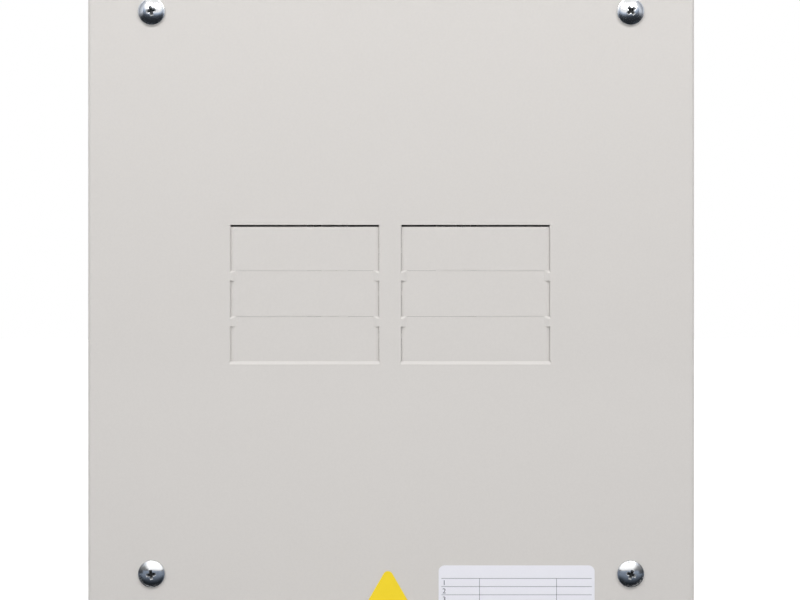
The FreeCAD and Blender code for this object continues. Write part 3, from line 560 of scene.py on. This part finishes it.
def make_cover_screw(corner, plating, shaded_deep_plating, wall_plating):
    """A threaded screw with a round head and a tapered cross recess, in place of the plain one."""
    node = "cover_screw_" + corner
    low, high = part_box(node)
    centre_x, centre_z = (low.x + high.x) / 2, (low.z + high.z) / 2
    head_radius = (high.x - low.x) / 2
    rise, length = cover_face - low.y, high.y - cover_face
    turned = math.radians(SCREW_TURNS[corner])
    cos, sin = math.cos(turned), math.sin(turned)

    def to_point(point):
        x, z, out = point
        return (centre_x + x * cos - z * sin, cover_face - out, centre_z + x * sin + z * cos)

    rings = recess_rings(rise) + head_rings(head_radius, rise) + shank_rings(length)
    piece = loft("threaded_screw_" + corner, rings, to_point)
    for material in (plating, shaded_deep_plating, wall_plating):
        piece.data.materials.append(material)
    # painted shade: the deepest bands of the recess get the near-black material, the walls above the
    # duller one
    deep_faces = 1 + DEEP_BANDS * SCREW_SEGMENTS
    recess_faces = 1 + len(RECESS_STEPS) * SCREW_SEGMENTS
    for face in piece.data.polygons[:recess_faces]:
        face.material_index = 1 if face.index < deep_faces else 2
    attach(piece, node)
    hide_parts(node)


# ================================================================ print on the label
def blocks(name, corners):
    """One mesh of flat blocks, each from its lowest corner to its highest."""
    points, faces = [], []
    sides = [(0, 1, 3, 2), (4, 6, 7, 5), (0, 4, 5, 1), (2, 3, 7, 6), (0, 2, 6, 4), (1, 5, 7, 3)]
    for low, high in corners:
        first = len(points)
        points += [(x, y, z) for x in (low[0], high[0]) for y in (low[1], high[1])
                   for z in (low[2], high[2])]
        faces += [tuple(first + number for number in side) for side in sides]
    return mesh_object(name, points, faces)


def digit(text, x, y, z):
    """A printed number as a thin solid on the label's face y, its lower left corner at x and z."""
    curve = bpy.data.curves.new("number_" + text, "FONT")
    curve.body = text
    curve.size = FONT_SIZE
    curve.extrude = INK_DEPTH / 2
    piece = bpy.data.objects.new("label_number_" + text, curve)
    piece.location = (x, y - INK_DEPTH / 2, z)
    piece.rotation_euler = (math.pi / 2, 0, 0)
    bpy.context.scene.collection.objects.link(piece)
    return piece


def make_label_print(ink):
    """Hairlines and circuit numbers of a blank circuit directory."""
    low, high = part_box("rating_label")
    left, right = low.x + LABEL_MARGIN, high.x - LABEL_MARGIN
    top, bottom = high.z - LABEL_HEADER, low.z + LABEL_MARGIN
    row_count = int((top - bottom) / LABEL_ROW)
    end = top - row_count * LABEL_ROW
    back, front = low.y, low.y - INK_DEPTH
    half = HAIRLINE / 2
    lines = []
    for number in range(row_count + 1):
        z = top - number * LABEL_ROW
        lines.append(((left, front, z - half), (right, back, z + half)))
    for column in LABEL_COLUMNS:
        x = low.x + column
        lines.append(((x - half, front, end), (x + half, back, top)))
    pieces = [blocks("label_lines", lines)]
    for number in range(CIRCUITS):
        base = top - (number + 1) * LABEL_ROW + (LABEL_ROW - DIGIT_HEIGHT) / 2
        pieces.append(digit(str(number + 1), left + DIGIT_INSET, back, base))
    for piece in pieces:
        piece.data.materials.append(ink)
        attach(piece, "cover")


# ================================================================ stage, light and camera
def is_seen(tree):
    """1 for what the camera sees, straight or in metal or glass, and 0 for the light that falls."""
    rays = add(tree, "LightPath").outputs
    glossy = add(tree, "Math", {0: rays["Is Camera Ray"], 1: rays["Is Glossy Ray"]}, operation="MAXIMUM")
    both = {0: glossy.outputs[0], 1: rays["Is Transmission Ray"]}
    return add(tree, "Math", both, operation="MAXIMUM").outputs[0]


def seen_strength(tree, falling, seen):
    """One strength for the light that falls, and another for what is seen."""
    inputs = {"Value": is_seen(tree), "To Min": falling, "To Max": seen}
    return add(tree, "MapRange", inputs).outputs["Result"]


def make_world():
    """Plain white light all round, white to the camera."""
    world = bpy.data.worlds.new("studio")
    world.use_nodes = True
    tree = world.node_tree
    background = tree.nodes["Background"]
    background.inputs["Color"].default_value = (1, 1, 1, 1)
    feed(tree, background.inputs["Strength"], seen_strength(tree, falling=WORLD_LIGHT, seen=1.0))
    bpy.context.scene.world = world


def make_floor():
    """A pale floor under the cover's lower edge, white to the camera but for the shadow on it."""
    bpy.ops.mesh.primitive_plane_add(size=FLOOR_SIZE, location=(0, 0, cad_box[0].z))
    floor = bpy.context.object
    floor.name = "floor"
    material = new_material("floor")
    tree = material.node_tree
    shader = tree.nodes["Principled BSDF"]
    shader.inputs["Base Color"].default_value = FLOOR_COLOUR
    shader.inputs["Roughness"].default_value = FLOOR_ROUGHNESS
    shader.inputs["Emission Color"].default_value = (1, 1, 1, 1)
    glow = seen_strength(tree, falling=0.0, seen=FLOOR_GLOW)
    feed(tree, shader.inputs["Emission Strength"], glow)
    floor.data.materials.append(material)


def make_card(name, rows, tint=CARD_TINT):
    """A painted reflection: a glowing card that only polished metal sees, through rows of points with a
    tone each.
    """
    points = [point for row in rows for point, _ in row]
    tones = [tone for row in rows for _, tone in row]
    width = len(rows[0])
    faces = []
    for row in range(len(rows) - 1):
        for number in range(width - 1):
            low, high = row * width + number, (row + 1) * width + number
            faces.append((low, low + 1, high + 1, high))
    card = mesh_object(name, points, faces)
    colours = card.data.color_attributes.new("tone", "FLOAT_COLOR", "POINT")
    for number, tone in enumerate(tones):
        colours.data[number].color = (*[tone * channel for channel in tint], 1)
    material = new_material(name)
    tree = material.node_tree
    tone = add(tree, "Attribute", attribute_name="tone").outputs["Color"]
    emission = add(tree, "Emission", {"Color": tone, "Strength": 1.0})
    feed(tree, tree.nodes["Material Output"].inputs["Surface"], emission.outputs[0])
    card.data.materials.append(material)
    # hidden from the camera, diffuse light and shadows: the card only paints reflections
    card.visible_camera = False
    card.visible_diffuse = False
    card.visible_shadow = False


def both_sides(pairs):
    """The same pairs again at the other side of the middle, from the far left to the far right."""
    return [(-x, value) for x, value in reversed(pairs)] + pairs


def level_rows(tones, height, across):
    """Rows of a level card, from tones at distances in front of the cover, and shares across it."""
    rows = []
    for distance, tone in tones:
        row = [((x, cover_face - distance, height), tone * share) for x, share in across]
        rows.append(row)
    return rows


def standing_rows(tones, low, tops):
    """Rows of an upright card, from tones at shares of its height; tops are pairs of x and height."""
    rows = []
    for share, tone in tones:
        row = [(x, cover_face - CARD_FRONT, low + share * (top - low)) for x, top in tops]
        rows.append([(point, tone) for point in row])
    return rows


def side_rows(x, floor):
    """Rows of an upright card at one side, from the cover's face to the front."""
    near, front = cover_face, cover_face - CARD_FRONT
    rows = []
    for height, near_tone, front_tone in SIDE_CARD:
        z = floor + height
        rows.append([((x, near, z), near_tone), ((x, front, z), front_tone)])
    return rows


def make_cards():
    """Painted reflections: cards on the floor, level above it, standing in two parts at the front, and
    at both sides.
    """
    floor = cad_box[0].z + MM
    shelf = floor + SHELF_HEIGHT
    plain = both_sides([(CARD_SIDE, 1.0)])
    white = both_sides(WHITE_ACROSS)
    tops = both_sides(UPPER_TOPS)
    make_card("floor_card", level_rows(FLOOR_CARD, floor, plain))
    make_card("shelf_card", level_rows(SHELF_CARD, shelf, plain))
    make_card("white_card", level_rows(WHITE_CARD, shelf - MM, white), WHITE_TINT)
    make_card("standing_card", standing_rows(STANDING_CARD, floor, [(x, shelf) for x, _ in tops]))
    make_card("upper_card", standing_rows(UPPER_CARD, shelf, tops))
    for x in (-CARD_SIDE, CARD_SIDE):
        make_card("side_card", side_rows(x, floor), SIDE_TINT)


def make_softbox(side):
    """One of two large soft lamps above and in front of the cover."""
    lamp = bpy.data.lights.new("softbox", "AREA")
    lamp.shape = "SQUARE"
    lamp.size = SOFTBOX_SIZE
    lamp.energy = SOFTBOX_POWER
    light = bpy.data.objects.new("softbox", lamp)
    light.location = (side * SOFTBOX_SIDE, cover_face - SOFTBOX_FRONT, SOFTBOX_HEIGHT)
    aim = Vector((0, cover_face, 0)) - light.location
    light.rotation_euler = aim.to_track_quat("-Z", "Y").to_euler()
    bpy.context.scene.collection.objects.link(light)


def make_camera():
    """Straight in front of the cover, so far that its plane fills the picture as wide as stated."""
    camera = bpy.data.cameras.new("camera")
    camera.lens = LENS
    camera.sensor_width = SENSOR
    view = bpy.data.objects.new("camera", camera)
    middle = (cover_low + cover_high) / 2
    distance = PICTURE_WIDTH * LENS / SENSOR
    view.location = (middle.x + CAMERA_RIGHT, cover_face - distance, middle.z - CAMERA_BELOW)
    view.rotation_euler = (math.pi / 2, 0, 0)
    bpy.context.scene.collection.objects.link(view)
    bpy.context.scene.camera = view


# ================================================================ the scene
make_camera()
finishes = make_finishes()
dress_cad(finishes)
shaded_deep_zinc = recess_zinc("shaded_deep_zinc", DEEP_SHADE_SHARE)
wall_zinc = recess_zinc("wall_zinc", WALL_SHARE)
for corner in SCREW_TURNS:
    make_cover_screw(corner, finishes["bright_zinc"], shaded_deep_zinc, wall_zinc)
make_label_print(vinyl("label_ink", INK))
make_world()
make_floor()
make_cards()
for side in (-1, 1):
    make_softbox(side)
bpy.context.scene.view_settings.view_transform = "Standard"
